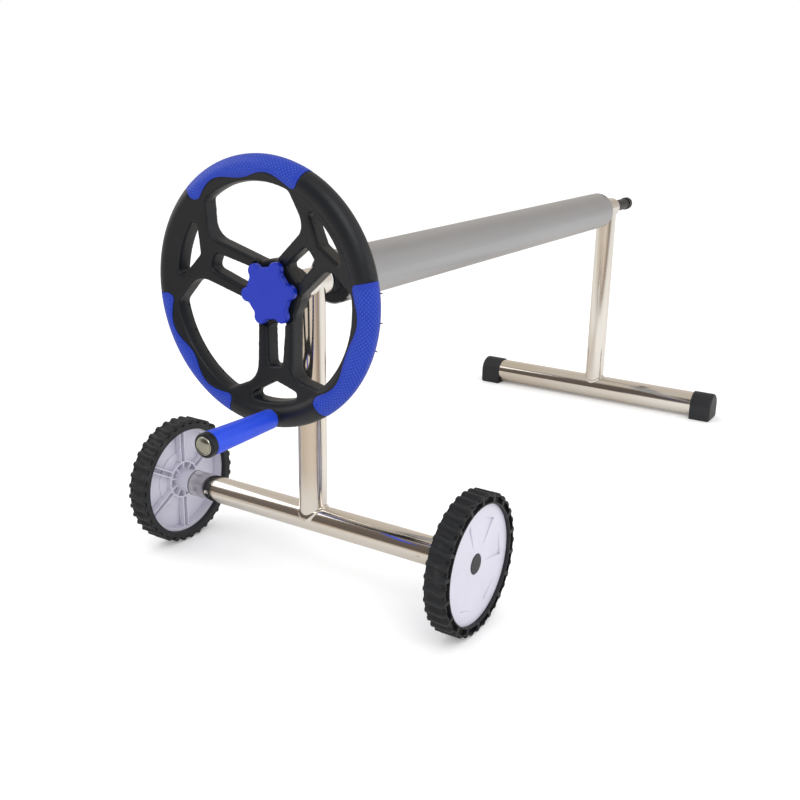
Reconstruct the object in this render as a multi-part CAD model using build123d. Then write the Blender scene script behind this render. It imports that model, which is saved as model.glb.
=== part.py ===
from build123d import *
import math
import os

# Pool cover reel. Millimetres, +Z up. The floor is z = 0, the reel axis runs along Y, the handwheel
# is at the -Y end and both T stands spread along X. The origin is on the floor, under the middle
# of the reel's whole length.

# ---- stands --------------------------------------------------------------------------------------
REEL_HEIGHT = 459.0         # reel axis above the floor
STAND_SPACING = 1128.0      # near post to far post, along the reel
TUBE_OD = 42.0              # posts, near base tube and bearing sleeves
TUBE_WALL = 1.5
FOOT_TUBE_OD = 54.0         # the far stand stands on a stouter tube
FOOT_TUBE_WALL = 1.5
NEAR_BASE_LENGTH = 470.0
FOOT_SPREAD = 584.0         # far feet, over their ends
SLEEVE_LENGTH = 48.0        # bearing sleeve on top of each post
WELD_GAP = 0.05             # between tubes that are welded together
WELD_SIZE = 2.5             # leg of the weld bead
# ---- end caps that the far stand stands on -------------------------------------------------------
FOOT_LENGTH = 46.5
FOOT_WALL = 3.0
FOOT_END_WALL = 7.0
FOOT_CORNER = 5.0
# ---- bearings and shaft --------------------------------------------------------------------------
SHAFT_OD = 25.0
RUNNING_FIT = 0.05          # radial play of whatever turns in or on something
FIT_GAP = 0.05              # radial play of pushed-in pieces
BUSH_LENGTH = 20.0
BUSH_FLANGE = 2.0
BUSH_INSET = 0.5            # flange's edge inside the sleeve's outside
# ---- roller --------------------------------------------------------------------------------------
ROLLER_OD = 77.0
ROLLER_WALL = 1.8
ROLLER_NEAR_GAP = 29.0      # near post's face to the roller
ROLLER_FAR_GAP = 42.0       # far post's face to the roller
NOTCH_COUNT = 3
NOTCH_WIDTH = 12.0
NOTCH_DEPTH = 8.0
NOTCH_ANGLE = 66.0
KEY_INSET = 0.4             # plug's keys below the tube's outside
PLUG_LENGTH = 45.0
PLUG_BOSS_OD = 44.0
PLUG_BOSS_LENGTH = 12.0
SHAFT_STUB = 109.0          # far shaft beyond the far post
SHAFT_CAP_OD = 28.0
SHAFT_CAP_LENGTH = 18.0
SHAFT_CAP_ROUND = 3.0
# ---- handwheel -----------------------------------------------------------------------------------
WHEEL_PLANE = 80.0          # rim centre plane in front of the near post's face
RIM_RADIUS = 164.0          # centre of the rim section
RIM_WIDTH = 35.0            # section, across the wheel
RIM_DEPTH = 35.0            # section, along the axle
WHEEL_TURN = 8.5            # how far the wheel is turned at rest
ARM_COUNT = 3
ARM_WIDTH = 60.0
DISH_DEPTH = 26.0           # thickness of the dished arms
DISH_SLOPE = 0.25           # rise of the dish towards the rim
DISH_AT_RIM = 13.4          # front of the dish ahead of the rim plane, where it meets the rim
DISH_OVERLAP = 9.0          # dish runs this far into the rim
WINDOW_CLEAR = 1.5          # window arc outside the rim's inner edge
WINDOW_TURN = 28.5          # window's corners at the rim, from its middle
WINDOW_CORNER = 7.0
ARM_FLARE = 29.5            # arms flare over this much of their length under the rim
WINDOW_BEND_TURN = 45.0
WINDOW_BEND = 24.0
WINDOW_ROOT = 8.0           # rounding between arm and hub disc
HUB_DISC_OD = 88.0
SLOT_START = 42.0
SLOT_END = 97.0
SLOT_WIDTH = 31.0
SLOT_END_WIDTH = 24.0
SLOT_CORNER = 6.0
OPENING_FLARE = 69.0        # sides of the opening under the rim, from the arm's centre line
OPENING_WALL = 2.5          # arm left between that opening and the rim
OPENING_ROUND = 5.0
EDGE_ROUND = 2.5
HUB_OD = 58.0
HUB_RECESS_OD = 94.0
HUB_FRONT = 19.0            # hub face behind the rim plane
HUB_GAP = 8.0               # hub to the near sleeve's flange
# ---- grips ---------------------------------------------------------------------------------------
GRIP_THICKNESS = 2.4
GRIP_SPAN = 67.0
GRIP_EDGE_INSET = 7.0       # inner edge inside the rim's centre line
GRIP_WAVE = 4.5
GRIP_WAVES = 2
GRIP_END_ROUND = 9.0
# ---- star knob -----------------------------------------------------------------------------------
KNOB_LOBES = 6
KNOB_OD = 91.0
KNOB_CORE_OD = 70.0
KNOB_BOSS_OD = 44.0
KNOB_LOBE_OD = 20.0
KNOB_WAIST = 6.0
KNOB_THICKNESS = 9.0
KNOB_STANDOFF = 6.0
KNOB_ROUND = 3.5
STUD_OD = 12.0
STUD_LENGTH = 45.0
STUD_END_GAP = 2.0          # end of the thread to the bottom of its hole
# ---- crank handle --------------------------------------------------------------------------------
HANDLE_LENGTH = 121.0
HANDLE_BASE_OD = 27.0
HANDLE_END_OD = 32.5
HANDLE_GAP = 3.0            # washer between rim and sleeve
HANDLE_ROUND = 3.0
HANDLE_BOLT_OD = 10.0
BOLT_PROUD = 2.0            # thread beyond the nut
BOLT_HEAD_OD = 25.0
BOLT_HEAD_HEIGHT = 4.0
END_RING_LENGTH = 10.0
WASHER_OD = 20.0
NUT_AF = 16.0
NUT_HEIGHT = 8.0
# ---- wheels --------------------------------------------------------------------------------------
WHEEL_OD = 204.0
TYRE_WIDTH = 33.0
TYRE_WALL = 15.5            # tread to the disc's rim
TYRE_ROUND = 4.0
WHEEL_TRACK = 539.0         # tyre centre to tyre centre
DISC_WIDTH = 19.0
DISC_INSET = 5.5            # outer face inside the tyre's face
DISC_RIM_WALL = 4.5
DISC_WEB = 4.5
DISC_DISH = 3.0             # outer face falls this much to the hub
DISC_STEP_OD = 94.0         # raised step round the hub ring, on the inner side
DISC_STEP = 0.5
FACETS = 6                  # shallow ramps in the outer face, like a pinwheel
FACET_TURN = 50.0           # first steep edge, from +Y
FACET_START = 23.0          # radius where a ramp starts
FACET_MARGIN = 16.5         # ramps end this far inside the disc's rim
FACET_SWEEP = 38.0
FACET_DEPTH = 3.0
HUB_RING_OD = 62.0
HUB_RING_WALL = 2.5
HUB_RIBS = 10
RIB_PAIRS = 6
RIB_WALL = 2.2
RIB_PAIR_GAP = 9.0
HUB_BARREL_OD = 36.0
AXLE_OD = 24.0
AXLE_FLANGE = 3.0
AXLE_PLUG_LENGTH = 40.0
AXLE_CAP_OD = 29.0
AXLE_CAP_THICKNESS = 5.0
AXLE_CAP_RECESS = 2.0
AXLE_CAP_ROUND = 1.0
SIDE_PLAY = 0.5             # axial play of the wheels and of the crank sleeve
SCREW_INSET = 14.0          # insert screw, from the tube's end
SCREW_HEAD_OD = 6.0
SCREW_HEAD_HEIGHT = 1.2
SCREW_SHANK_OD = 3.5
DIMPLE_INSET = 37.0         # pressed dimple, from the tube's end
DIMPLE_DEPTH = 0.9
DIMPLE_BALL = 9.0

# ---- worked out from the sizes above -------------------------------------------------------------
tube_r = TUBE_OD / 2
foot_tube_r = FOOT_TUBE_OD / 2
shaft_r = SHAFT_OD / 2
wheel_r = WHEEL_OD / 2
roller_r = ROLLER_OD / 2
rim_plane = -(tube_r + WHEEL_PLANE)
rim_front = rim_plane - RIM_DEPTH / 2
rim_inner = RIM_RADIUS - RIM_WIDTH / 2
flare_r = rim_inner - ARM_FLARE     # where an arm starts to flare towards the rim
sleeve_face = SLEEVE_LENGTH / 2 + BUSH_FLANGE
hub_face = rim_plane + HUB_FRONT
hub_back = -(sleeve_face + HUB_GAP)
roller_start = tube_r + ROLLER_NEAR_GAP
roller_end = STAND_SPACING - tube_r - ROLLER_FAR_GAP
shaft_tip = STAND_SPACING + tube_r + SHAFT_STUB
far_base_height = foot_tube_r + FOOT_WALL
far_base_length = FOOT_SPREAD - 2 * FOOT_END_WALL
handle_face = rim_front - HANDLE_GAP - HANDLE_LENGTH - END_RING_LENGTH
handle_tip = handle_face - BOLT_HEAD_HEIGHT / 2
middle = (handle_tip + shaft_tip) / 2
arm_angles = [WHEEL_TURN - 90 + step * 360 / ARM_COUNT for step in range(ARM_COUNT)]
window_angles = [angle + 180 / ARM_COUNT for angle in arm_angles]
handle_angle = arm_angles[0]
sleeve_bore = HANDLE_BOLT_OD / 2 + 2 * RUNNING_FIT
sleeve_base = rim_front - HANDLE_GAP - SIDE_PLAY


def along_y(radius, start, end, x=0.0, z=0.0):
    """Cylinder along Y, from y = start to y = end."""
    return Pos(x, (start + end) / 2, z) * Rot(90, 0, 0) * Cylinder(radius, end - start)


def along_x(radius, start, end, y=0.0, z=0.0):
    """Cylinder along X, from x = start to x = end."""
    return Pos((start + end) / 2, y, z) * Rot(0, 90, 0) * Cylinder(radius, end - start)


def front_prism(outline, front, back):
    """Prism along Y of an outline drawn as seen from the front, x to the right and z up."""
    plane = Plane((0, back, 0), x_dir=(1, 0, 0), z_dir=(0, -1, 0))
    return extrude(plane * outline, back - front)


def turned(points):
    """Solid turned about the Y axis from (radius, y) points."""
    return revolve(make_face(Polyline(*points, close=True)), Axis.Y)


def on_reel(shape):
    """Lift a piece that was made about the Y axis onto the reel axis."""
    return Pos(0, 0, REEL_HEIGHT) * shape


def pipe_x(outer, wall, length, z, y=0.0):
    """Round tube along X, centred on x = 0."""
    half = length / 2
    return along_x(outer, -half, half, y, z) - along_x(outer - wall, -half - 1, half + 1, y, z)


# ---- stands --------------------------------------------------------------------------------------
def post(y, base_r, base_height):
    """Upright tube, mouthed over the base tube below and over the bearing sleeve above."""
    height = REEL_HEIGHT - base_height
    centre = Pos(0, y, base_height + height / 2)
    tube = centre * (Cylinder(tube_r, height) - Cylinder(tube_r - TUBE_WALL, height + 2))
    tube -= along_x(base_r + WELD_GAP, -TUBE_OD, TUBE_OD, y, base_height)
    return tube - along_y(tube_r + WELD_GAP, y - TUBE_OD, y + TUBE_OD, 0, REEL_HEIGHT)


def weld(y, base_r, base_height):
    """Bead round the foot of the post."""
    reach = tube_r + WELD_SIZE
    height = base_r + WELD_SIZE
    bead = Pos(0, y, base_height + height / 2) * Cylinder(reach, height)
    bead &= along_x(base_r + WELD_SIZE, -reach, reach, y, base_height)
    bead -= Pos(0, y, base_height) * Cylinder(tube_r + WELD_GAP, 4 * height)
    return bead - along_x(base_r + WELD_GAP, -TUBE_OD, TUBE_OD, y, base_height)


def sleeve(y):
    """Short tube across the top of a post, which holds the bushes."""
    half = SLEEVE_LENGTH / 2
    outer = along_y(tube_r, y - half, y + half)
    return on_reel(outer - along_y(tube_r - TUBE_WALL, y - half - 1, y + half + 1))


def bush(y, side):
    """Flanged nylon bush pushed into one end of a sleeve."""
    face = y + side * SLEEVE_LENGTH / 2
    ends = sorted((face, face - side * BUSH_LENGTH))
    rim = sorted((face, face + side * BUSH_FLANGE))
    body = along_y(tube_r - TUBE_WALL - FIT_GAP, *ends) + along_y(tube_r - BUSH_INSET, *rim)
    return on_reel(body - along_y(shaft_r + RUNNING_FIT, y - SLEEVE_LENGTH, y + SLEEVE_LENGTH))


def near_base_tube():
    """Axle tube of the wheeled stand, with a screw hole and a pressed dimple near each end."""
    tube = pipe_x(tube_r, TUBE_WALL, NEAR_BASE_LENGTH, wheel_r)
    for side in (-1, 1):
        end = side * NEAR_BASE_LENGTH / 2
        spot = Pos(end - side * SCREW_INSET, -tube_r, wheel_r) * Rot(90, 0, 0)
        tube -= spot * Cylinder(SCREW_SHANK_OD / 2 + FIT_GAP, 4 * TUBE_WALL)
        ball = DIMPLE_BALL - DIMPLE_DEPTH
        tube -= Pos(end - side * DIMPLE_INSET, -tube_r - ball, wheel_r) * Sphere(DIMPLE_BALL)
    return tube


def foot(side):
    """Moulded cap on one end of the far base tube: arched on top, flat underneath."""
    radius = foot_tube_r + FOOT_WALL
    outline = Pos(0, far_base_height) * Circle(radius)
    outline += Pos(0, far_base_height / 2) * RectangleRounded(2 * radius, far_base_height, FOOT_CORNER)
    outline += Pos(0, far_base_height * 0.75) * Rectangle(2 * radius, far_base_height / 2)
    section = Plane((0, 0, 0), x_dir=(0, 1, 0), z_dir=(1, 0, 0)) * outline
    cap = extrude(section, FOOT_LENGTH)
    cap = fillet(cap.faces().sort_by(Axis.X)[-1].edges(), FOOT_CORNER)
    cap -= along_x(foot_tube_r + FIT_GAP, -1, FOOT_LENGTH - FOOT_END_WALL, 0, far_base_height)
    cap = Pos(FOOT_SPREAD / 2 - FOOT_LENGTH, STAND_SPACING, 0) * cap
    return cap if side > 0 else mirror(cap, Plane.YZ)


# ---- road wheels ---------------------------------------------------------------------------------
# Each is made at +X, about the X axis, and mirrored for the left side.
disc_r = wheel_r - TYRE_WALL
facet_end = disc_r - FACET_MARGIN
disc_outer = WHEEL_TRACK / 2 + TYRE_WIDTH / 2 - DISC_INSET
disc_inner = disc_outer - DISC_WIDTH
hub_start = NEAR_BASE_LENGTH / 2 + AXLE_FLANGE + SIDE_PLAY
cap_seat = disc_outer - AXLE_CAP_RECESS - AXLE_CAP_THICKNESS


def turned_x(points):
    """Solid turned about the X axis from (x, radius) points."""
    return revolve(make_face(Polyline(*points, close=True)), Axis.X)


def facet(angle):
    """Cutter for one ramp of the outer face: a tetrahedron, deepest at the ramp's steep outer corner."""
    def spot(radius, turn, lift):
        fall = DISC_DISH * (disc_r - radius) / (disc_r - HUB_BARREL_OD / 2)
        a = math.radians(turn)
        return (disc_outer - fall + lift, radius * math.cos(a), radius * math.sin(a))

    start = spot(FACET_START, angle, 0)
    deep = spot(facet_end, angle, -FACET_DEPTH)
    above = spot(facet_end, angle, 4 * FACET_DEPTH)
    side = spot(facet_end, angle + FACET_SWEEP, FACET_DEPTH / 10)
    corners = [start, deep, side, above]
    sides = [make_face(Polyline(*(corners[:i] + corners[i + 1:]), close=True)).face() for i in range(4)]
    return Solid(Shell(sides))


def wheel_disc():
    """Moulded wheel centre: rim, dished web, hub barrel, hub ring and ribs on the inner side."""
    rim_r = disc_r
    bore = AXLE_OD / 2 + RUNNING_FIT
    barrel = HUB_BARREL_OD / 2
    web_rim = disc_outer - DISC_WEB
    web_hub = web_rim - DISC_DISH
    disc = turned_x([
        (disc_inner, rim_r), (disc_outer, rim_r), (disc_outer, rim_r - DISC_RIM_WALL / 2),
        (disc_outer - DISC_DISH, barrel), (disc_outer - DISC_DISH, bore), (hub_start, bore),
        (hub_start, barrel), (web_hub, barrel), (web_rim, rim_r - DISC_RIM_WALL),
        (disc_inner, rim_r - DISC_RIM_WALL),
    ])
    for step in range(FACETS):
        disc -= facet(FACET_TURN + step * 360 / FACETS)
    step_ring = along_x(DISC_STEP_OD / 2, web_hub - DISC_STEP, web_rim)
    disc += step_ring - along_x(barrel - 1, disc_inner, disc_outer)
    rib_top = disc_inner + DISC_DISH
    ring_r = HUB_RING_OD / 2
    hub_ring = along_x(ring_r, rib_top, web_hub + 1)
    disc += hub_ring - along_x(ring_r - HUB_RING_WALL, rib_top - 1, disc_outer)
    for rib in range(HUB_RIBS):
        long = ring_r - barrel
        blade = Pos((rib_top + web_hub + 1) / 2, 0, barrel + long / 2 - 0.5)
        disc += Rot(rib * 360 / HUB_RIBS, 0, 0) * blade * Box(web_hub + 1 - rib_top, RIB_WALL, long)
    for pair in range(RIB_PAIRS):
        long = rim_r - DISC_RIM_WALL - ring_r + 2
        for side in (-1, 1):
            place = Pos((rib_top + web_hub + 1) / 2, side * RIB_PAIR_GAP / 2, ring_r - 1 + long / 2)
            blade = Rot(pair * 360 / RIB_PAIRS, 0, 0) * place * Box(web_hub + 1 - rib_top, RIB_WALL, long)
            disc += blade & along_x(rim_r - 1, disc_inner, disc_outer)
    return disc - along_x(AXLE_CAP_OD / 2 + SIDE_PLAY, cap_seat - SIDE_PLAY, disc_outer + 1)


def tyre():
    """Rubber tyre pressed round the wheel centre, as deep as its lugs."""
    outer = WHEEL_TRACK / 2 + TYRE_WIDTH / 2
    ring = along_x(wheel_r, outer - TYRE_WIDTH, outer)
    ring = fillet(ring.edges(), TYRE_ROUND)
    return ring - along_x(disc_r + FIT_GAP, outer - TYRE_WIDTH - 1, outer + 1)


def axle_insert():
    """Moulded plug in the tube's end, with a flange and the stub axle."""
    end = NEAR_BASE_LENGTH / 2
    insert = along_x(tube_r - TUBE_WALL - FIT_GAP, end - AXLE_PLUG_LENGTH, end)
    insert += along_x(tube_r, end, end + AXLE_FLANGE) + along_x(AXLE_OD / 2, end, cap_seat)
    return insert - along_y(SCREW_SHANK_OD / 2 + FIT_GAP, -tube_r, -tube_r / 2 + FIT_GAP, end - SCREW_INSET)


def axle_cap():
    """Push-on cap that keeps the wheel on its axle."""
    cap = along_x(AXLE_CAP_OD / 2, cap_seat, cap_seat + AXLE_CAP_THICKNESS)
    return fillet(cap.faces().sort_by(Axis.X)[-1].edges(), AXLE_CAP_ROUND)


def insert_screws():
    """One short screw at each end of the near base tube, through its wall into the insert."""
    screws = Part()
    for side in (-1, 1):
        x = side * (NEAR_BASE_LENGTH / 2 - SCREW_INSET)
        shank = along_y(SCREW_SHANK_OD / 2, -tube_r, -tube_r / 2, x, wheel_r)
        screws += shank + along_y(SCREW_HEAD_OD / 2, -tube_r - SCREW_HEAD_HEIGHT, -tube_r, x, wheel_r)
    return screws


def at_wheel(shape, side):
    """Lift a wheel piece to its axle, and mirror it for the left side."""
    shape = Pos(0, 0, wheel_r) * shape
    return shape if side > 0 else mirror(shape, Plane.YZ)


# ---- roller --------------------------------------------------------------------------------------
def notches(width, depth, outer):
    """Keys or notches round the roller's near end, between y = 0 and y = depth."""
    inner = roller_r - 2 * ROLLER_WALL
    keys = Part()
    for step in range(NOTCH_COUNT):
        block = Pos((inner + outer) / 2, depth / 2, 0) * Box(outer - inner, depth, width)
        keys += Rot(0, -NOTCH_ANGLE - step * 360 / NOTCH_COUNT, 0) * block
    return keys


def facing_back(shape):
    """Turn a near-end piece to face the far end."""
    return mirror(shape, Plane.XZ)


def roller_tube():
    """Long tube that the cover winds on, notched at both ends for the plugs' keys."""
    tube = along_y(roller_r, roller_start, roller_end)
    tube -= along_y(roller_r - ROLLER_WALL, roller_start - 1, roller_end + 1)
    cut = notches(NOTCH_WIDTH, NOTCH_DEPTH, roller_r + 1)
    return tube - Pos(0, roller_start, 0) * cut - Pos(0, roller_end, 0) * facing_back(cut)


def end_plug():
    """Moulded plug from y = 0 inwards, keyed in the tube's notches, with a boss for the shaft."""
    plug = along_y(roller_r - ROLLER_WALL - FIT_GAP, 0, PLUG_LENGTH)
    plug += notches(NOTCH_WIDTH - 2 * FIT_GAP, NOTCH_DEPTH - FIT_GAP, roller_r - KEY_INSET)
    boss = PLUG_BOSS_OD / 2
    plug += turned([(0, 0), (boss, 0), (shaft_r + 2, -PLUG_BOSS_LENGTH), (0, -PLUG_BOSS_LENGTH)])
    return plug - along_y(shaft_r + FIT_GAP, -2 * PLUG_BOSS_LENGTH, PLUG_LENGTH + 1)


def near_shaft():
    """Shaft from the handwheel's hub through the near bushes into the roller's plug."""
    shaft = along_y(shaft_r, hub_face, roller_start + PLUG_LENGTH)
    return shaft - along_y(STUD_OD / 2 + FIT_GAP, hub_face - 1, hub_face + STUD_LENGTH)


def far_shaft():
    """Shaft from the roller's far plug through the far stand and out beyond it."""
    return along_y(shaft_r, roller_end - PLUG_LENGTH, shaft_tip - SHAFT_CAP_LENGTH / 2)


def shaft_cap():
    """Push-on cap that keeps the far stand on its shaft."""
    cap = along_y(SHAFT_CAP_OD / 2, shaft_tip - SHAFT_CAP_LENGTH, shaft_tip)
    cap = fillet(cap.faces().sort_by(Axis.Y)[-1].edges(), SHAFT_CAP_ROUND)
    return cap - along_y(shaft_r + FIT_GAP, 0, shaft_tip - SHAFT_CAP_LENGTH / 2)


# ---- handwheel -----------------------------------------------------------------------------------
def rim_section(offset=0.0):
    """Oval section of the rim, or a smaller one inside it."""
    return Pos(RIM_RADIUS, rim_plane) * Ellipse(RIM_WIDTH / 2 - offset, RIM_DEPTH / 2 - offset)


def ray(angle, radius, across=0.0):
    """Point on the wheel at an angle and radius, moved across the ray."""
    a = math.radians(angle)
    return (radius * math.cos(a) - across * math.sin(a), radius * math.sin(a) + across * math.cos(a))


def window(angle):
    """Outline of a large opening: along two arms, out where they flare, and an arc under the rim."""
    half = 180 / ARM_COUNT
    arc = rim_inner + WINDOW_CLEAR
    sides = [ray(angle, ARM_WIDTH / 2 / math.sin(math.radians(half)))]
    for side in (-1, 1):
        bend = ray(angle + side * WINDOW_BEND_TURN, flare_r)
        corner = ray(angle + side * WINDOW_TURN, arc)
        beyond = tuple(2 * c - b for b, c in zip(bend, corner))
        sides += [bend, beyond] if side < 0 else [beyond, bend]
    opening = make_face(Polyline(*sides, close=True)) & Circle(arc)
    opening -= Circle(HUB_DISC_OD / 2)
    rounds = {arc: WINDOW_CORNER, flare_r: WINDOW_BEND, HUB_DISC_OD / 2: WINDOW_ROOT}
    for radius, size in rounds.items():
        corners = [v for v in opening.vertices() if abs(math.hypot(v.X, v.Y) - radius) < 0.1]
        opening = fillet(corners, size)
    return opening


def slot(angle):
    """Outline of the tapered slot in one arm, beside the hub."""
    corners = []
    for radius, width in ((SLOT_START, SLOT_WIDTH), (SLOT_END, SLOT_END_WIDTH)):
        corners += [ray(angle, radius, width / 2), ray(angle, radius, -width / 2)]
    hole = make_face(Polyline(corners[0], corners[1], corners[3], corners[2], close=True))
    return fillet(hole.vertices(), SLOT_CORNER)


def rim_opening(angle):
    """Outline of the triangular opening where one arm meets the rim."""
    far = 2 * RIM_RADIUS
    flare = math.radians(OPENING_FLARE)
    along = flare_r + far * math.cos(flare)
    wide = far * math.sin(flare)
    sides = Polyline(ray(angle, flare_r), ray(angle, along, wide), ray(angle, along, -wide), close=True)
    hole = make_face(sides) & Circle(rim_inner - OPENING_WALL)
    return fillet(hole.vertices(), OPENING_ROUND)


def dish():
    """Dished disc that the arms are cut from, and the hub in its middle."""
    flat = HUB_RECESS_OD / 2
    outer = rim_inner + DISH_OVERLAP
    front = rim_plane - DISH_AT_RIM
    front_hub = front + DISH_SLOPE * (outer - flat)
    return turned([
        (0, hub_face), (flat, hub_face), (flat, front_hub), (outer, front), (outer, front + DISH_DEPTH),
        (HUB_OD / 2, front_hub + DISH_DEPTH + DISH_SLOPE * (flat - HUB_OD / 2)), (HUB_OD / 2, hub_back),
        (0, hub_back),
    ])


def handwheel_body():
    """One moulding: rim, three dished arms and hub."""
    arms = dish()
    for angle in window_angles:
        arms -= front_prism(window(angle), 2 * rim_plane, 0)
    for angle in arm_angles:
        arms -= front_prism(slot(angle) + rim_opening(angle), 2 * rim_plane, 0)
    arms -= along_y(shaft_r + FIT_GAP, hub_face - 1, 0)
    lips = [
        edge for edge in arms.edges()
        if edge.bounding_box().size.Y < DISH_DEPTH / 2 and edge.geom_type != GeomType.CIRCLE
    ]
    arms = fillet(lips, EDGE_ROUND)
    wheel = arms + revolve(rim_section(), Axis.Y)
    bolt_x, bolt_z = ray(handle_angle, RIM_RADIUS)
    wheel -= along_y(HANDLE_BOLT_OD / 2 + FIT_GAP, 2 * rim_plane, 0, bolt_x, bolt_z)
    for angle in window_angles:
        wheel -= grip_shape(angle)
    return wheel


def grip_outline(angle):
    """Wavy inner edge, rounded ends, and an outer edge clear of the rim."""
    steps = 8 * GRIP_WAVES
    edge = []
    for step in range(steps + 1):
        turn = angle + GRIP_SPAN * (step / steps - 0.5)
        wave = GRIP_WAVE * math.cos(2 * math.pi * GRIP_WAVES * step / steps)
        edge.append(ray(turn, RIM_RADIUS - GRIP_EDGE_INSET - wave))
    far = RIM_RADIUS + RIM_WIDTH
    corners = Polyline(edge[-1], ray(angle + GRIP_SPAN / 2, far), ray(angle, 2 * far),
                       ray(angle - GRIP_SPAN / 2, far), edge[0])
    outline = make_face([Spline(*edge), *corners.edges()])
    tips = outline.vertices().sort_by_distance((0, 0, 0))[:2]
    return fillet(tips, GRIP_END_ROUND)


def grip_shape(angle):
    """Soft inlay: a skin of the rim within the grip's outline."""
    skin = revolve(rim_section(), Axis.Y) - revolve(rim_section(GRIP_THICKNESS), Axis.Y)
    return skin & front_prism(grip_outline(angle), 2 * rim_plane, 0)


def star_knob():
    """Lobed knob with a waisted outline and a round boss behind."""
    tip = (KNOB_OD - KNOB_LOBE_OD) / 2
    outline = Circle(KNOB_CORE_OD / 2)
    for lobe in range(KNOB_LOBES):
        x, z = ray(WHEEL_TURN + lobe * 360 / KNOB_LOBES, tip)
        outline += Pos(x, z) * Circle(KNOB_LOBE_OD / 2)
    outline = fillet(outline.vertices(), KNOB_WAIST)
    back = hub_face - KNOB_STANDOFF
    head = front_prism(outline, back - KNOB_THICKNESS, back)
    head = fillet(head.faces().sort_by(Axis.Y)[0].edges(), KNOB_ROUND)
    head += along_y(KNOB_BOSS_OD / 2, back, hub_face - FIT_GAP)
    return head - along_y(STUD_OD / 2 + FIT_GAP, back - KNOB_THICKNESS / 2 - FIT_GAP, hub_face)


def clamp_stud():
    """Threaded stud, moulded into the knob and screwed into the shaft's end."""
    back = hub_face - KNOB_STANDOFF
    return along_y(STUD_OD / 2, back - KNOB_THICKNESS / 2, hub_face + STUD_LENGTH - STUD_END_GAP)


# ---- crank handle --------------------------------------------------------------------------------
handle_x, handle_z = ray(handle_angle, RIM_RADIUS)
sleeve_end = rim_front - HANDLE_GAP - HANDLE_LENGTH


def on_handle(shape):
    """Move a piece that was made about the Y axis onto the crank's axis."""
    return on_reel(Pos(handle_x, 0, handle_z) * shape)


def handle_bolt():
    """Long bolt with a wide domed head, through the sleeve and the rim."""
    back = rim_plane + RIM_DEPTH / 2 + NUT_HEIGHT + BOLT_PROUD
    bolt = along_y(HANDLE_BOLT_OD / 2, handle_face - BOLT_HEAD_HEIGHT / 2, back)
    dome = along_y(BOLT_HEAD_OD / 2, handle_tip, handle_tip + BOLT_HEAD_HEIGHT)
    return bolt + fillet(dome.faces().sort_by(Axis.Y)[0].edges(), BOLT_HEAD_HEIGHT * 0.6)


def handle_sleeve():
    """Tapered sleeve that turns on the bolt, wider at its free end."""
    sleeve_body = turned([
        (sleeve_bore, sleeve_base), (HANDLE_BASE_OD / 2, sleeve_base),
        (HANDLE_END_OD / 2, sleeve_end), (sleeve_bore, sleeve_end),
    ])
    base = sleeve_body.faces().sort_by(Axis.Y)[-1].edges().sort_by(SortBy.LENGTH)[-1]
    return fillet(base, HANDLE_ROUND)


def handle_end_ring():
    """Black ring pressed on the sleeve's free end, round the bolt's head."""
    ring = along_y(HANDLE_END_OD / 2, sleeve_end - END_RING_LENGTH, sleeve_end)
    ring = fillet(ring.faces().sort_by(Axis.Y)[0].edges(), HANDLE_ROUND)
    ring -= along_y(sleeve_bore, handle_tip - 1, 0)
    seat = handle_tip + BOLT_HEAD_HEIGHT + SIDE_PLAY
    return ring - along_y(BOLT_HEAD_OD / 2 + SIDE_PLAY, handle_tip - 1, seat)


def handle_washer():
    """Seat between the rim and the sleeve, hollowed to fit the rim."""
    ring = along_y(WASHER_OD / 2, rim_front - HANDLE_GAP, rim_plane)
    ring -= revolve(rim_section(-FIT_GAP), Axis.Y).moved(Location((-handle_x, 0, -handle_z)))
    return ring - along_y(HANDLE_BOLT_OD / 2 + FIT_GAP, 2 * rim_plane, 0)


def handle_nut():
    """Nut behind the rim."""
    back = rim_plane + RIM_DEPTH / 2
    outline = RegularPolygon(NUT_AF / 2, 6, major_radius=False)
    hexagon = front_prism(outline, back + FIT_GAP, back + NUT_HEIGHT)
    return hexagon - along_y(HANDLE_BOLT_OD / 2 + FIT_GAP, 2 * rim_plane, 0)


# ---- every piece, by node name -------------------------------------------------------------------
pieces = {
    "near_base_tube": near_base_tube(),
    "near_post": post(0, tube_r, wheel_r),
    "near_weld": weld(0, tube_r, wheel_r),
    "near_bearing_sleeve": sleeve(0),
    "near_front_bush": bush(0, -1),
    "near_back_bush": bush(0, 1),
    "insert_screws": insert_screws(),
    "far_base_tube": pipe_x(foot_tube_r, FOOT_TUBE_WALL, far_base_length, far_base_height, STAND_SPACING),
    "far_post": post(STAND_SPACING, foot_tube_r, far_base_height),
    "far_weld": weld(STAND_SPACING, foot_tube_r, far_base_height),
    "far_bearing_sleeve": sleeve(STAND_SPACING),
    "far_front_bush": bush(STAND_SPACING, -1),
    "far_back_bush": bush(STAND_SPACING, 1),
    "roller_tube": on_reel(roller_tube()),
    "near_end_plug": on_reel(Pos(0, roller_start, 0) * end_plug()),
    "far_end_plug": on_reel(Pos(0, roller_end, 0) * facing_back(end_plug())),
    "near_shaft": on_reel(near_shaft()),
    "far_shaft": on_reel(far_shaft()),
    "far_shaft_cap": on_reel(shaft_cap()),
    "handwheel_body": on_reel(handwheel_body()),
    "star_knob": on_reel(star_knob()),
    "clamp_stud": on_reel(clamp_stud()),
    "handle_bolt": on_handle(handle_bolt()),
    "handle_washer": on_handle(handle_washer()),
    "handle_nut": on_handle(handle_nut()),
    "handle_sleeve": on_handle(handle_sleeve()),
    "handle_end_ring": on_handle(handle_end_ring()),
}
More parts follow.
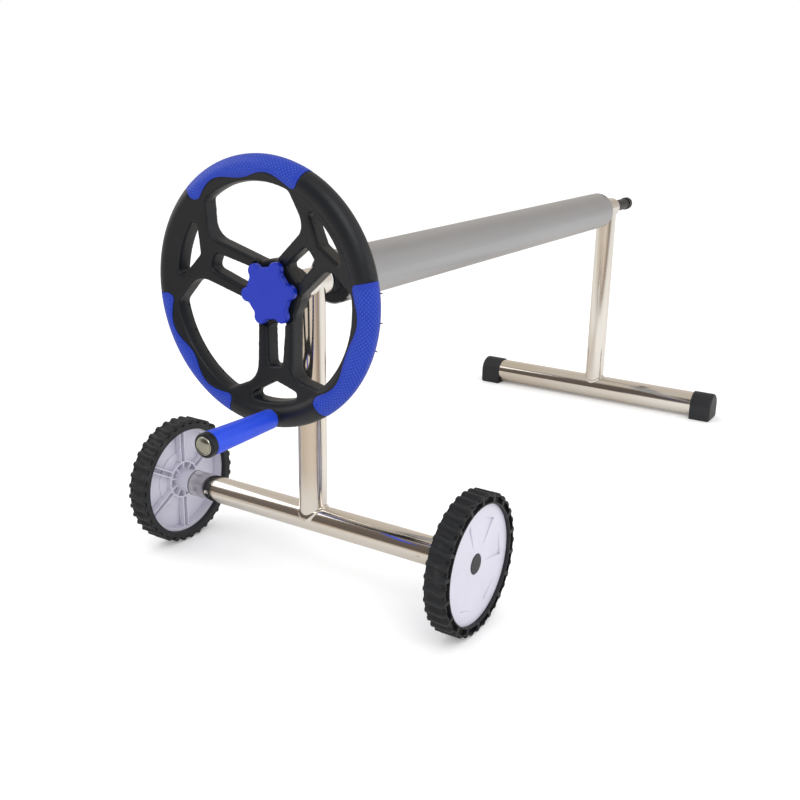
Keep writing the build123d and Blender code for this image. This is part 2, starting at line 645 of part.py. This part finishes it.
for name, side in (("left", -1), ("right", 1)):
    pieces[name + "_foot"] = foot(side)
    pieces[name + "_wheel_disc"] = at_wheel(wheel_disc(), side)
    pieces[name + "_tyre"] = at_wheel(tyre(), side)
    pieces[name + "_axle_insert"] = at_wheel(axle_insert(), side)
    pieces[name + "_axle_cap"] = at_wheel(axle_cap(), side)
for name, angle in zip(("right", "top", "left"), window_angles):
    pieces[name + "_grip"] = on_reel(grip_shape(angle))

os.makedirs("parts", exist_ok=True)
for name, piece in pieces.items():
    export_step(Pos(0, -middle, 0) * piece, f"parts/{name}.step")
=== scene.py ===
import math

import bmesh
import bpy
from mathutils import Matrix, Vector


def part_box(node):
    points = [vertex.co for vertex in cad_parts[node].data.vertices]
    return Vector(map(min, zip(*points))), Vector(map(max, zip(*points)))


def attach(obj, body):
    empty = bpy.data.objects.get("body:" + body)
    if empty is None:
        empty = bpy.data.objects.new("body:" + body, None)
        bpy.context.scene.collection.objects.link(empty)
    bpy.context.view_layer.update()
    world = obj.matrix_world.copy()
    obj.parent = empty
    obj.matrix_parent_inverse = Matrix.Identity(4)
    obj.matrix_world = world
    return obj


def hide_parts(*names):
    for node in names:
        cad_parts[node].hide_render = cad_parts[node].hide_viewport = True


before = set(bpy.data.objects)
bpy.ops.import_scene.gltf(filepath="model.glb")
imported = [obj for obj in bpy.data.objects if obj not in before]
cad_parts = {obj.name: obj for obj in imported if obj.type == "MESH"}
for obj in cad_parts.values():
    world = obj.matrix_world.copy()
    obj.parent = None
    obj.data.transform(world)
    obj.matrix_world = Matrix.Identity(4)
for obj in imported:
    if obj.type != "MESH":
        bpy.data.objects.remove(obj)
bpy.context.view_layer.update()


# ---- polished stands -----------------------------------------------------------------------------
# Two T stands of thin stainless tube. The posts are mouthed over the base tubes and welded, a short
# bearing sleeve is welded across each top, and the whole is buffed to a mirror finish.
class Shade:
    """A value carried by a shader socket. Sums on it add Math nodes."""

    def __init__(self, finish, socket):
        self.finish = finish
        self.socket = socket

    def math(self, operation, first, second=0.0):
        return self.finish.node("ShaderNodeMath", {"operation": operation}, {0: first, 1: second})

    def __add__(self, other):
        return self.math("ADD", self, other)

    def __sub__(self, other):
        return self.math("SUBTRACT", self, other)

    def __rsub__(self, other):
        return self.math("SUBTRACT", other, self)

    def __mul__(self, other):
        return self.math("MULTIPLY", self, other)

    def __truediv__(self, other):
        return self.math("DIVIDE", self, other)

    def __pow__(self, other):
        return self.math("POWER", self, other)

    def __mod__(self, other):
        return self.math("FLOORED_MODULO", self, other)

    __radd__ = __add__
    __rmul__ = __mul__

    def size(self):
        return self.math("ABSOLUTE", self)

    def wave(self):
        return self.math("SINE", self)

    def step(self, low, high):
        """0 below low, 1 above high, smooth between them."""
        settings = {"interpolation_type": "SMOOTHSTEP"}
        return self.finish.node("ShaderNodeMapRange", settings, {0: self, 1: low, 2: high})


class Finish:
    """A material on one Principled shader, whose constants are given by socket name."""

    def __init__(self, name, **constants):
        self.material = bpy.data.materials.new(name)
        self.material.use_nodes = True
        self.tree = self.material.node_tree
        self.shader = self.tree.nodes["Principled BSDF"]
        for socket, value in constants.items():
            self.shader.inputs[socket.replace("_", " ")].default_value = value

    def node(self, kind, settings, sockets, output=0):
        node = self.tree.nodes.new(kind)
        for name, value in settings.items():
            setattr(node, name, value)
        for key, value in sockets.items():
            if isinstance(value, Shade):
                self.tree.links.new(value.socket, node.inputs[key])
            else:
                node.inputs[key].default_value = value
        return Shade(self, node.outputs[output])

    def place(self):
        """Position on the object, in metres."""
        return self.node("ShaderNodeTexCoord", {}, {}, "Object")

    def along(self, axis):
        """One coordinate of that position."""
        return self.node("ShaderNodeSeparateXYZ", {}, {0: self.place()}, "XYZ".index(axis))

    def noise(self, size, stretch=(1, 1, 1), detail=3.0):
        """Cloudy value around 0.5, with features of that size in metres."""
        scale = tuple(s / size for s in stretch)
        spot = self.node("ShaderNodeMapping", {}, {"Vector": self.place(), "Scale": scale})
        return self.node("ShaderNodeTexNoise", {}, {"Vector": spot, "Scale": 1.0, "Detail": detail})

    def blend(self, amount, first, second):
        """Colour between two colours."""
        return self.node("ShaderNodeMix", {"data_type": "RGBA"}, {0: amount, 6: first, 7: second}, 2)

    def ramp(self, amount, stops):
        """Colour from a list of (position, colour) stops, the first at 0 and the last at 1."""
        shade = self.node("ShaderNodeValToRGB", {}, {0: amount})
        colours = shade.socket.node.color_ramp
        colours.interpolation = "B_SPLINE"
        for spot, _ in stops[1:-1]:
            colours.elements.new(spot)
        for element, (spot, tone) in zip(colours.elements, stops):
            element.color = (*tone, 1)
        return shade

    def feed(self, socket, value):
        self.tree.links.new(value.socket, self.shader.inputs[socket])

    def relief(self, height, depth, strength=1.0):
        """Bump from a height of 0 to 1, depth in metres."""
        bump = self.node("ShaderNodeBump", {}, {"Height": height, "Distance": depth, "Strength": strength})
        self.feed("Normal", bump)

    def on(self, *nodes):
        """Give this finish to CAD pieces."""
        for name in nodes:
            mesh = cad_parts[name].data
            mesh.materials.clear()
            mesh.materials.append(self.material)


def polished_steel():
    """Buffed stainless: nearly a mirror, with long faint polishing streaks and a straw tint in places."""
    steel = Finish("polished_steel", Metallic=1.0)
    haze = steel.noise(0.03, stretch=(1, 1, 0.35))
    tint = steel.noise(0.22, detail=1.0).step(0.45, 0.75)
    steel.feed("Base Color", steel.blend(tint, (0.80, 0.775, 0.74, 1), (0.77, 0.72, 0.65, 1)))
    steel.feed("Roughness", 0.06 + haze * 0.09)
    steel.relief(steel.noise(0.012, detail=2.0), 0.0001, 0.35)
    return steel


polished_steel().on(
    "near_base_tube", "near_post", "near_bearing_sleeve", "near_weld",
    "far_base_tube", "far_post", "far_bearing_sleeve", "far_weld",
)

# ---- bushes --------------------------------------------------------------------------------------
# Flanged bushes of white nylon, turned and pushed into both ends of each bearing sleeve.
nylon = Finish("white_nylon", Roughness=0.42, Specular_IOR_Level=0.4)
nylon.feed("Base Color", nylon.blend(nylon.noise(0.02), (0.80, 0.80, 0.79, 1), (0.88, 0.88, 0.88, 1)))
nylon.relief(nylon.noise(0.0008), 0.0001, 0.3)
nylon.on("near_front_bush", "near_back_bush", "far_front_bush", "far_back_bush")

# ---- small steel fixings -------------------------------------------------------------------------
# Zinc plated screws in the axle inserts, the clamp stud, and the crank's washer and nut.
plated = Finish("plated_steel", Metallic=1.0, Base_Color=(0.62, 0.63, 0.62, 1))
plated.feed("Roughness", 0.14 + plated.noise(0.004) * 0.12)
plated.on("insert_screws", "clamp_stud", "handle_washer", "handle_nut")

# ---- feet ----------------------------------------------------------------------------------------
# Soft black caps moulded to the far base tube, arched on top and flat where they stand on the deck.
foot_plastic = Finish("foot_plastic", Specular_IOR_Level=0.35)
foot_shade = foot_plastic.noise(0.03)
foot_plastic.feed(
    "Base Color", foot_plastic.blend(foot_shade, (0.012, 0.013, 0.016, 1), (0.022, 0.023, 0.028, 1)),
)
foot_plastic.feed("Roughness", 0.42 + foot_plastic.noise(0.004) * 0.16)
foot_plastic.relief(foot_plastic.noise(0.0009), 0.0002, 0.5)
foot_plastic.on("left_foot", "right_foot")

# ---- axle inserts --------------------------------------------------------------------------------
# Grey mouldings: a plug in the tube's end with its stub axle, and the darker push-on cap in the hub.
insert_plastic = Finish("insert_plastic", Specular_IOR_Level=0.4)
insert_shade = insert_plastic.noise(0.01)
insert_plastic.feed(
    "Base Color", insert_plastic.blend(insert_shade, (0.13, 0.13, 0.14, 1), (0.19, 0.19, 0.20, 1)),
)
insert_plastic.feed("Roughness", 0.4 + insert_shade * 0.15)
insert_plastic.relief(insert_plastic.noise(0.001), 0.0002, 0.4)
insert_plastic.on("left_axle_insert", "right_axle_insert")
cap_plastic = Finish("cap_plastic", Specular_IOR_Level=0.4)
cap_shade = cap_plastic.noise(0.008)
cap_plastic.feed("Base Color", cap_plastic.blend(cap_shade, (0.025, 0.026, 0.03, 1), (0.04, 0.041, 0.045, 1)))
cap_plastic.feed("Roughness", 0.4 + cap_shade * 0.15)
cap_plastic.on("left_axle_cap", "right_axle_cap")

# ---- wheel discs ---------------------------------------------------------------------------------
# White moulded centres with a faint lavender cast: pinwheel facets outside, ribs inside.
disc_plastic = Finish("disc_plastic", Specular_IOR_Level=0.45)
disc_shade = disc_plastic.noise(0.05)
disc_plastic.feed("Base Color", disc_plastic.blend(disc_shade, (0.60, 0.59, 0.68, 1), (0.66, 0.65, 0.74, 1)))
disc_plastic.feed("Roughness", 0.28 + disc_plastic.noise(0.01) * 0.14)
disc_plastic.relief(disc_plastic.noise(0.003), 0.0002, 0.25)
disc_plastic.on("left_wheel_disc", "right_wheel_disc")

# ---- tyres ---------------------------------------------------------------------------------------
# Black rubber rings stretched over the discs: wavy lugs run across the tread, and between them a row
# of rectangular pockets is moulded into the outer side.
LUGS = 36
POCKETS = 18
STEPS_PER_LUG = 12
GROOVE_DEPTH = 0.0045
LUG_WAVE = 0.6              # how far a lug bends along its length, in radians of the lug pitch
LUG_SHARE = 0.25            # above 0 the lugs are wider than the grooves between them
LUG_STEEPNESS = 1.1
POCKET_LOW = 0.0885
POCKET_HIGH = 0.0975
POCKET_SHARE = 0.80         # of their pitch
POCKET_DEPTH = 0.0055
SHOULDER = 0.0016
TYRE_BORE = 0.0866
TREAD_CELLS = 5             # each side of the tread's middle
TINY = 1e-5                 # nearer than this is the same place


def ring_loop(points):
    """A closed chain of edges through (x, radius) points, in the plane y = 0."""
    bm = bmesh.new()
    verts = [bm.verts.new((x, 0, r)) for x, r in points]
    edges = [bm.edges.new((a, b)) for a, b in zip(verts, verts[1:] + verts[:1])]
    return bm, verts, edges


def spin_about_x(bm, geometry, steps):
    """Turn a chain of edges once round the X axis into a closed skin."""
    bmesh.ops.spin(
        bm, geom=geometry, cent=(0, 0, 0), axis=(1, 0, 0), dvec=(0, 0, 0),
        angle=2 * math.pi, steps=steps, use_merge=True, use_duplicate=False,
    )
    bmesh.ops.recalc_face_normals(bm, faces=bm.faces[:])


def finished(bm, name, body, finish, slot, *nodes, sharp=35):
    """Turn a bmesh into a piece of the object that rides on a body and stands for some CAD nodes."""
    mesh = bpy.data.meshes.new(name)
    bm.to_mesh(mesh)
    bm.free()
    mesh.shade_smooth()
    mesh.set_sharp_from_angle(angle=math.radians(sharp))
    mesh.materials.append(finish.material)
    piece = bpy.data.objects.new(name, mesh)
    bpy.context.scene.collection.objects.link(piece)
    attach(piece, body)
    if nodes:
        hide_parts(*nodes)


def lugged_tyre(low, high, side):
    """The tyre within its box; side is 1 for the wheel at +X, whose outer face has the pockets."""
    centre = (low + high) / 2
    half = (high.x - low.x) / 2
    outer = (high.z - low.z) / 2
    grid = (half - SHOULDER) / TREAD_CELLS
    across = [grid * step for step in range(-TREAD_CELLS, TREAD_CELLS + 1)]
    points = [(-half, TYRE_BORE), (-half, POCKET_LOW), (-half, POCKET_HIGH), (-half, outer - SHOULDER)]
    points += [(x, outer) for x in across]
    points += [(half, outer - SHOULDER), (half, POCKET_HIGH), (half, POCKET_LOW), (half, TYRE_BORE)]
    bm, verts, edges = ring_loop(points)
    spin_about_x(bm, verts + edges, LUGS * STEPS_PER_LUG)
    pockets = []
    for face in bm.faces:
        spot = face.calc_center_median()
        radius = math.hypot(spot.y, spot.z)
        turn = math.atan2(spot.y, spot.z) * POCKETS / (2 * math.pi) % 1
        inside = POCKET_LOW < radius < POCKET_HIGH and abs(turn - 0.5) < POCKET_SHARE / 2
        if inside and abs(spot.x - side * half) < TINY:
            pockets.append(face)
    walls = bmesh.ops.extrude_face_region(bm, geom=pockets)
    moved = [item for item in walls["geom"] if isinstance(item, bmesh.types.BMVert)]
    bmesh.ops.translate(bm, verts=moved, vec=(-side * POCKET_DEPTH, 0, 0))
    bmesh.ops.delete(bm, geom=pockets, context="FACES")
    for vert in bm.verts:
        radius = math.hypot(vert.co.y, vert.co.z)
        if radius < outer - 2 * SHOULDER:
            continue
        turn = math.atan2(vert.co.y, vert.co.z) * LUGS + LUG_WAVE * math.sin(math.pi * vert.co.x / half)
        lug = min(1.0, max(0.0, LUG_SHARE + LUG_STEEPNESS * math.cos(turn)))
        scale = (radius - GROOVE_DEPTH * (1 - lug)) / radius
        vert.co.y *= scale
        vert.co.z *= scale
    bmesh.ops.translate(bm, verts=bm.verts[:], vec=centre)
    return bm


rubber = Finish("tyre_rubber", Specular_IOR_Level=0.35)
scuff = rubber.noise(0.02, detail=6.0).step(0.55, 0.8)
rubber.feed("Base Color", rubber.blend(scuff, (0.016, 0.018, 0.021, 1), (0.035, 0.037, 0.04, 1)))
rubber.feed("Roughness", 0.44 + rubber.noise(0.006) * 0.25)
rubber.relief(rubber.noise(0.0015, detail=4.0), 0.0004, 0.5)
for name, side in (("left", -1), ("right", 1)):
    bm = lugged_tyre(*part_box(name + "_tyre"), side)
    finished(bm, name + "_lugged_tyre", name + "_wheel", rubber, "tyre_rubber", name + "_tyre")

# ---- roller --------------------------------------------------------------------------------------
# Satin anodised tube that the cover is wound on, with fine drawing lines along its length.
roller = Finish("satin_aluminium", Metallic=0.65)
drawing = roller.noise(0.0012, stretch=(1, 0.01, 1))
cloud = roller.noise(0.09, stretch=(1, 0.4, 1))
roller.feed("Base Color", roller.blend(cloud, (0.34, 0.35, 0.37, 1), (0.40, 0.405, 0.42, 1)))
roller.feed("Roughness", 0.27 + drawing * 0.12)
roller.relief(drawing, 0.0002, 0.25)
roller.on("roller_tube")

# ---- roller plugs and shafts ---------------------------------------------------------------------
# Black mouldings keyed into the roller's notches carry the black coated shafts.
black = Finish("black_moulding", Specular_IOR_Level=0.4)
black_shade = black.noise(0.03)
black.feed("Base Color", black.blend(black_shade, (0.005, 0.007, 0.011, 1), (0.009, 0.012, 0.017, 1)))
black.feed("Roughness", 0.34 + black.noise(0.005) * 0.14)
black.relief(black.noise(0.0008), 0.0002, 0.4)
black.on("near_end_plug", "far_end_plug", "far_shaft_cap", "near_shaft", "far_shaft", "handle_end_ring")

# ---- handwheel -----------------------------------------------------------------------------------
# One black moulding, satin and slightly pebbled: round rim, three dished arms and a hub, with every
# edge softly rounded and the arms flowing into the rim.
VOXEL = 0.0019
SMOOTH_PASSES = 8
EDGE_ANGLE = 80             # degrees; only a sharper edge is shaded as a crease


def softened(name):
    """Copy of a CAD piece, remeshed finely and smoothed so that its edges and joins flow."""
    bm = bmesh.new()
    bm.from_mesh(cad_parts[name].data)
    bmesh.ops.remove_doubles(bm, verts=bm.verts[:], dist=TINY)
    mesh = bpy.data.meshes.new(name + "_copy")
    bm.to_mesh(mesh)
    bm.free()
    copy = bpy.data.objects.new(name + "_copy", mesh)
    bpy.context.scene.collection.objects.link(copy)
    remesh = copy.modifiers.new("Remesh", "REMESH")
    remesh.mode = "VOXEL"
    remesh.voxel_size = VOXEL
    smooth = copy.modifiers.new("Smooth", "SMOOTH")
    smooth.iterations = SMOOTH_PASSES
    smooth.factor = 0.5
    depsgraph = bpy.context.evaluated_depsgraph_get()
    result = bpy.data.meshes.new_from_object(copy.evaluated_get(depsgraph))
    bpy.data.objects.remove(copy)
    bm = bmesh.new()
    bm.from_mesh(result)
    return bm


finished(
    softened("handwheel_body"), "handwheel_moulding", "reel", black, "black_plastic", "handwheel_body",
    sharp=EDGE_ANGLE,
)

# ---- moulding nubs -------------------------------------------------------------------------------
# Short stubs of black plastic left on the rim where the vents of the mould were broken off: a row on
# the inner edge below the left arm, and three on the outer edge at the right.
NUB_LENGTH = 0.0036
NUB_ROOT = 0.0010
NUB_TIP = 0.0006
NUB_BEHIND = math.radians(28)       # round the rim's section, from its plane to its back
INNER_NUBS = range(193, 250, 14)    # degrees from +X
OUTER_NUBS = range(-17, 9, 12)
RIM_RADIUS = 0.164
RIM_HALF = 0.0175
axle_low, axle_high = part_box("near_shaft")
axle = (axle_low + axle_high) / 2
rim_low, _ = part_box("handwheel_body")
rim_plane = rim_low.y + RIM_HALF


def nub(bm, angle, side):
    """One stub on the back of the rim, pointing to the hub (side -1) or away from it (side 1)."""
    turn = Matrix.Rotation(math.radians(90 * side - angle), 4, "Y")
    a = math.radians(angle)
    radius = RIM_RADIUS + side * (RIM_HALF * math.cos(NUB_BEHIND) + NUB_LENGTH / 3)
    back = rim_plane + RIM_HALF * math.sin(NUB_BEHIND)
    place = Matrix.Translation((axle.x + radius * math.cos(a), back, axle.z + radius * math.sin(a)))
    bmesh.ops.create_cone(
        bm, cap_ends=True, segments=8, radius1=NUB_ROOT, radius2=NUB_TIP, depth=NUB_LENGTH,
        matrix=place @ turn,
    )


bm = bmesh.new()
for angle in INNER_NUBS:
    nub(bm, angle, -1)
for angle in OUTER_NUBS:
    nub(bm, angle, 1)
finished(bm, "moulding_nubs", "reel", black, "black_plastic")

# ---- grips ---------------------------------------------------------------------------------------
# Three soft blue inlays in the rim, dimpled in diagonal rows along the middle and smooth round
# their wavy edges.
DOT_PITCH = 0.0054
GRIP_MIDDLE = math.radians(98.5)    # the top grip's, from +X
GRIP_SPAN = math.radians(67.0)
GRIP_EDGE = 0.157
GRIP_WAVE = 0.0045
MARGIN = 0.004                      # smooth border along the wavy edge
END_MARGIN = 0.03                   # and at the ends, in radians
grip_rubber = Finish("grip_rubber", Specular_IOR_Level=0.35)
across = grip_rubber.along("X") - axle.x
up = grip_rubber.along("Z") - axle.z
ahead = rim_plane - grip_rubber.along("Y")
radius = (across * across + up * up) ** 0.5
bearing = grip_rubber.node("ShaderNodeMath", {"operation": "ARCTAN2"}, {0: up, 1: across})
third = 2 * math.pi / 3
lap = (bearing - GRIP_MIDDLE + 2 * math.pi + third / 2) % third - third / 2
section = grip_rubber.node("ShaderNodeMath", {"operation": "ARCTAN2"}, {0: ahead, 1: radius - RIM_RADIUS})
run = lap * (RIM_RADIUS * 2 * math.pi / DOT_PITCH)
round_rim = section * (RIM_HALF * 2 * math.pi / DOT_PITCH)
dots = run.wave() * round_rim.wave()
edge = GRIP_EDGE - ((lap / GRIP_SPAN + 0.5) * (4 * math.pi) + math.pi / 2).wave() * GRIP_WAVE
clear_of_edge = (radius - edge).step(MARGIN, 1.6 * MARGIN)
clear_of_ends = (GRIP_SPAN / 2 - lap.size()).step(END_MARGIN, END_MARGIN + 0.02)
dimples = dots.step(0.25, 0.8) * (clear_of_edge * clear_of_ends)
grip_cloud = grip_rubber.noise(0.03)
grip_blue = grip_rubber.blend(grip_cloud, (0.006, 0.031, 0.34, 1), (0.009, 0.041, 0.41, 1))
grip_rubber.feed("Base Color", grip_rubber.blend(dimples, grip_blue, (0.028, 0.095, 0.60, 1)))
grip_rubber.feed("Roughness", 0.38 + grip_rubber.noise(0.004) * 0.14)
grip_rubber.relief(dimples, 0.0008, 0.8)
grip_rubber.on("top_grip", "right_grip", "left_grip")

# ---- star knob and crank sleeve ------------------------------------------------------------------
# Satin blue mouldings: the six-lobed clamping knob, and the sleeve that turns on the crank's bolt.
blue = Finish("blue_moulding", Specular_IOR_Level=0.45)
blue_shade = blue.noise(0.03)
blue.feed("Base Color", blue.blend(blue_shade, (0.004, 0.022, 0.38, 1), (0.006, 0.031, 0.45, 1)))
blue.feed("Roughness", 0.30 + blue.noise(0.005) * 0.12)
blue.relief(blue.noise(0.0012), 0.0002, 0.3)
blue.on("star_knob")
sleeve_blue = Finish("sleeve_blue", Specular_IOR_Level=0.45)
sleeve_shade = sleeve_blue.noise(0.03)
sleeve_blue.feed(
    "Base Color", sleeve_blue.blend(sleeve_shade, (0.014, 0.060, 0.64, 1), (0.020, 0.080, 0.76, 1)),
)
sleeve_blue.feed("Roughness", 0.34 + sleeve_blue.noise(0.005) * 0.12)
sleeve_blue.relief(sleeve_blue.noise(0.0012), 0.0002, 0.3)
sleeve_blue.on("handle_sleeve")

# ---- crank bolt ----------------------------------------------------------------------------------
# Plated bolt through the sleeve and the rim, with a wide low dome for a head and a rolled edge.
BOLT_RADIUS = 0.005
HEAD_RADIUS = 0.0125
HEAD_HEIGHT = 0.004
HEAD_SIDES = 64
HEAD_PROFILE = [(0.0, 0.0), (0.00, 0.1), (0.05, 0.3), (0.17, 0.5), (0.36, 0.68), (0.50, 0.78)]
HEAD_PROFILE += [(0.46, 0.84), (0.36, 0.89), (0.38, 0.95), (0.52, 0.99), (0.70, 1.0), (1.0, 1.0)]
bolt_low, bolt_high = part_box("handle_bolt")
points = [(depth * HEAD_HEIGHT, share * HEAD_RADIUS) for depth, share in HEAD_PROFILE]
length = bolt_high.y - bolt_low.y
points += [(HEAD_HEIGHT, BOLT_RADIUS), (length, BOLT_RADIUS), (length, 0)]
bm, verts, edges = ring_loop(points)
spin_about_x(bm, verts + edges, HEAD_SIDES)
bmesh.ops.remove_doubles(bm, verts=bm.verts[:], dist=1e-6)
bmesh.ops.delete(bm, geom=[edge for edge in bm.edges if not edge.link_faces], context="EDGES")
bmesh.ops.recalc_face_normals(bm, faces=bm.faces[:])
bolt_axis = (bolt_low + bolt_high) / 2
bmesh.ops.rotate(bm, verts=bm.verts[:], matrix=Matrix.Rotation(math.pi / 2, 3, "Z"))
bmesh.ops.translate(bm, verts=bm.verts[:], vec=(bolt_axis.x, bolt_low.y, bolt_axis.z))
nickel = Finish("nickel_plate", Metallic=1.0, Base_Color=(0.46, 0.50, 0.47, 1))
nickel.feed("Roughness", 0.10 + nickel.noise(0.004) * 0.10)
finished(bm, "crank_bolt", "reel", nickel, "steel_fixings", "handle_bolt")

# ---- floor, light and camera ---------------------------------------------------------------------
# Plain white studio: a white sweep, a white surround, and soft lights from above and both sides. What
# shines in the polished steel is a warm room with darker openings, laid out by bearing.
CAMERA_PLACE = Vector((0.84416, -1.60735, 0.72826))
CAMERA_TURN = math.radians(32.09)
CAMERA_TILT = math.radians(17.60)
CAMERA_ROLL = math.radians(0.92)
CAMERA_LENS = 45.04
FLOOR_HALF = 30
NEAR_STAND = 0.5                    # the floor's painted reflection tones turn about the spot below the near stand

floor_mesh = bpy.data.meshes.new("floor")
floor_bm = bmesh.new()
bmesh.ops.create_grid(floor_bm, x_segments=1, y_segments=1, size=FLOOR_HALF)
floor_bm.to_mesh(floor_mesh)
floor_bm.free()
floor = bpy.data.objects.new("floor", floor_mesh)
bpy.context.scene.collection.objects.link(floor)
floor_with_painted_reflection = Finish("floor_with_painted_reflection", Roughness=0.9, Specular_IOR_Level=0.0, Emission_Strength=1.0)
# To the camera and to diffuse light the floor is plain white with a faint glow. Glossy rays see a painted
# reflection instead: warm and dark bands of a room, set by bearing round the spot below the near stand.
mirrored = floor_with_painted_reflection.node("ShaderNodeLightPath", {}, {}, "Is Glossy Ray")
behind = floor_with_painted_reflection.along("Y") + NEAR_STAND
aside = floor_with_painted_reflection.along("X")
bearing = floor_with_painted_reflection.node("ShaderNodeMath", {"operation": "ARCTAN2"}, {0: behind, 1: aside})
# Painted reflection tones by bearing, which the polished steel shows in place of the floor.
FLOOR_REFLECTION_TONES = [
    (0.00, (0.60, 0.56, 0.50)), (0.12, (0.50, 0.43, 0.35)), (0.25, (0.62, 0.54, 0.46)),
    (0.40, (0.66, 0.58, 0.50)), (0.47, (0.42, 0.34, 0.27)), (0.53, (0.16, 0.12, 0.10)),
    (0.58, (0.90, 0.88, 0.84)), (0.72, (0.95, 0.93, 0.90)), (0.80, (0.50, 0.42, 0.34)),
    (0.88, (0.92, 0.90, 0.86)), (1.00, (0.60, 0.56, 0.50)),
]
tone = floor_with_painted_reflection.ramp(bearing / (2 * math.pi) + 0.5, FLOOR_REFLECTION_TONES)
away = (behind ** 2 + aside ** 2) ** 0.5
# Painted reflection: a lighter cream close below the near stand.
tone = floor_with_painted_reflection.blend(away.step(0.3, 0.5), (0.74, 0.71, 0.67, 1), tone)
floor_with_painted_reflection.feed("Base Color", floor_with_painted_reflection.blend(mirrored, (0.93, 0.93, 0.93, 1), tone))
floor_with_painted_reflection.feed("Emission Color", floor_with_painted_reflection.blend(mirrored, (0.14, 0.14, 0.14, 1), (0, 0, 0, 1)))
floor_mesh.materials.append(floor_with_painted_reflection.material)


class Room(Finish):
    """The surround: the same node methods, on the world's background."""

    def __init__(self, name):
        self.world = bpy.data.worlds.new(name)
        self.world.use_nodes = True
        self.tree = self.world.node_tree
        self.shader = self.tree.nodes["Background"]


WALL_TONES = [
    (0.00, (0.80, 0.76, 0.70)), (0.06, (0.55, 0.47, 0.40)), (0.12, (0.16, 0.13, 0.11)),
    (0.22, (0.10, 0.08, 0.07)), (0.30, (0.20, 0.16, 0.13)), (0.38, (0.75, 0.70, 0.64)),
    (0.46, (0.22, 0.17, 0.14)), (0.55, (0.85, 0.80, 0.74)), (0.66, (0.90, 0.86, 0.80)),
    (0.72, (0.40, 0.33, 0.27)), (0.80, (0.80, 0.74, 0.66)), (0.90, (0.55, 0.48, 0.41)),
    (1.00, (0.80, 0.76, 0.70)),
]
room = Room("studio")
direction = room.node("ShaderNodeTexCoord", {}, {}, "Generated")
sight = [room.node("ShaderNodeSeparateXYZ", {}, {0: direction}, axis) for axis in range(3)]
bearing = room.node("ShaderNodeMath", {"operation": "ARCTAN2"}, {0: sight[1], 1: sight[0]})
walls = room.ramp(bearing / (2 * math.pi) + 0.5, WALL_TONES)
mirrored = room.node("ShaderNodeLightPath", {}, {}, "Is Glossy Ray")
inside = room.blend(sight[2].step(0.66, 0.86), walls, (0.62, 0.56, 0.49, 1))
room.feed("Color", room.blend(mirrored, (1, 1, 1, 1), inside))
bpy.context.scene.world = room.world


def soft_light(name, place, aim, size, power):
    """Square area light, aimed at a spot on the reel."""
    lamp = bpy.data.lights.new(name, "AREA")
    lamp.shape = "RECTANGLE"
    lamp.size = size
    lamp.size_y = size
    lamp.energy = power
    light = bpy.data.objects.new(name, lamp)
    light.location = place
    light.rotation_euler = (Vector(aim) - Vector(place)).to_track_quat("-Z", "Y").to_euler()
    bpy.context.scene.collection.objects.link(light)


soft_light("key_light", (1.6, -1.8, 2.6), (0, -0.3, 0.3), 1.6, 20)
soft_light("fill_light", (-2.4, -1.2, 1.8), (0, 0, 0.3), 2.0, 16)
soft_light("side_light", (2.3, 0.2, 1.3), (0, -0.6, 0.45), 1.2, 4)

camera_data = bpy.data.cameras.new("camera")
camera_data.sensor_width = 36
camera_data.lens = CAMERA_LENS
camera = bpy.data.objects.new("camera", camera_data)
turned = Matrix.Rotation(CAMERA_TURN, 4, "Z") @ Matrix.Rotation(math.pi / 2 - CAMERA_TILT, 4, "X")
camera.matrix_world = Matrix.Translation(CAMERA_PLACE) @ turned @ Matrix.Rotation(CAMERA_ROLL, 4, "Z")
bpy.context.scene.collection.objects.link(camera)
bpy.context.scene.camera = camera
bpy.context.scene.view_settings.view_transform = "Standard"
